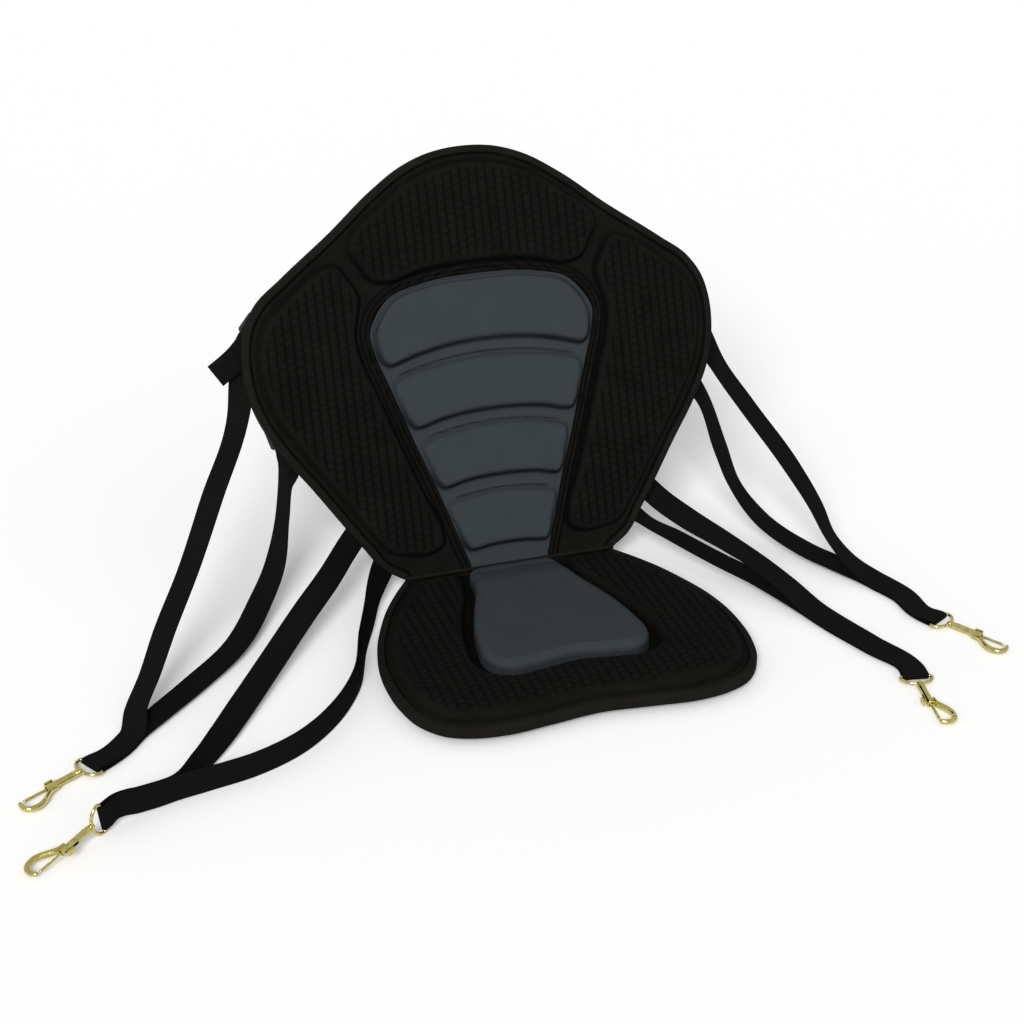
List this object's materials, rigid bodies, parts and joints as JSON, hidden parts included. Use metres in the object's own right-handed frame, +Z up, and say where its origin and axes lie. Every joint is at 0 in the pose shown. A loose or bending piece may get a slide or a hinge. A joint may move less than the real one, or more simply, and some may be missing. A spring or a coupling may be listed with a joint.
{
  "type": "paddleboard seat",
  "caption": "Padded folding board seat: moulded backrest and seat joined by a sewn fold, with webbing straps ending in brass swivel bolt snaps.",
  "frame": {"origin": "on the floor under the middle of the footprint of the backrest and seat", "axes": "+Z up, +X to the right as seen from the front, -Y the way the sitter looks"},
  "size_m": [0.9577, 0.5525, 0.4207],
  "materials": {
    "black_fabric": "matte black woven cover",
    "binding": "black edge tape",
    "grey_pad": "dark grey stretch knit over foam",
    "foam": "closed-cell foam inside",
    "webbing": "black ribbed webbing",
    "plastic": "moulded black",
    "brass": "polished cast",
    "steel": "spring wire"
  },
  "bodies": {
    "seat": {"backrest_centre_pad": "grey_pad", "backrest_edge_binding": "binding", "backrest_foam_core": "foam", "backrest_rear_cover": "black_fabric", "backrest_shell": "black_fabric", "fold_strip": "binding", "lower_left_ladder_lock": "plastic", "lower_left_lock_tab": "webbing", "lower_left_snap_eye": "brass", "lower_left_strap": "webbing", "lower_right_ladder_lock": "plastic", "lower_right_lock_tab": "webbing", "lower_right_snap_eye": "brass", "lower_right_strap": "webbing", "seat_centre_pad": "grey_pad", "seat_edge_binding": "binding", "seat_foam_core": "foam", "seat_shell": "black_fabric", "seat_underside_cover": "black_fabric", "upper_left_ladder_lock": "plastic", "upper_left_lock_tab": "webbing", "upper_left_second_ladder_lock": "plastic", "upper_left_second_lock_tab": "webbing", "upper_left_snap_eye": "brass", "upper_left_strap": "webbing", "upper_right_ladder_lock": "plastic", "upper_right_lock_tab": "webbing", "upper_right_second_ladder_lock": "plastic", "upper_right_second_lock_tab": "webbing", "upper_right_snap_eye": "brass", "upper_right_strap": "webbing"},
    "upper_left_snap": {"upper_left_snap_body": "brass", "upper_left_snap_spring": "steel"},
    "upper_left_bolt": {"upper_left_snap_bolt": "brass"},
    "lower_left_snap": {"lower_left_snap_body": "brass", "lower_left_snap_spring": "steel"},
    "lower_left_bolt": {"lower_left_snap_bolt": "brass"},
    "upper_right_snap": {"upper_right_snap_body": "brass", "upper_right_snap_spring": "steel"},
    "upper_right_bolt": {"upper_right_snap_bolt": "brass"},
    "lower_right_snap": {"lower_right_snap_body": "brass", "lower_right_snap_spring": "steel"},
    "lower_right_bolt": {"lower_right_snap_bolt": "brass"}
  },
  "joints": [
    {"name": "upper_left_snap_swivel", "type": "hinge", "parent": "seat", "child": "upper_left_snap", "pos_m": [-0.47486, -0.1577, 0.004], "axis": [-0.866, -0.5, 0], "continuous": true},
    {"name": "upper_left_bolt_slide", "type": "slide", "parent": "upper_left_snap", "child": "upper_left_bolt", "axis": [0.866, 0.5, 0], "range_m": [0, 0.0085], "stiffness_N_per_m": 300, "springref_m": -0.004},
    {"name": "lower_left_snap_swivel", "type": "hinge", "parent": "seat", "child": "lower_left_snap", "pos_m": [-0.47764, -0.25822, 0.01404], "axis": [-0.7899, -0.5952, -0.1478], "continuous": true},
    {"name": "lower_left_bolt_slide", "type": "slide", "parent": "lower_left_snap", "child": "lower_left_bolt", "axis": [0.7899, 0.5952, 0.1478], "range_m": [0, 0.0085], "stiffness_N_per_m": 300, "springref_m": -0.004},
    {"name": "upper_right_snap_swivel", "type": "hinge", "parent": "seat", "child": "upper_right_snap", "pos_m": [0.388, -0.17056, 0.004], "axis": [0.5, -0.866, 0], "continuous": true},
    {"name": "upper_right_bolt_slide", "type": "slide", "parent": "upper_right_snap", "child": "upper_right_bolt", "axis": [-0.5, 0.866, 0], "range_m": [0, 0.0085], "stiffness_N_per_m": 300, "springref_m": -0.004},
    {"name": "lower_right_snap_swivel", "type": "hinge", "parent": "seat", "child": "lower_right_snap", "pos_m": [0.30495, -0.26141, 0.004], "axis": [-0.1908, -0.9816, 0], "continuous": true},
    {"name": "lower_right_bolt_slide", "type": "slide", "parent": "lower_right_snap", "child": "lower_right_bolt", "axis": [0.1908, 0.9816, 0], "range_m": [0, 0.0085], "stiffness_N_per_m": 300, "springref_m": -0.004}
  ]
}
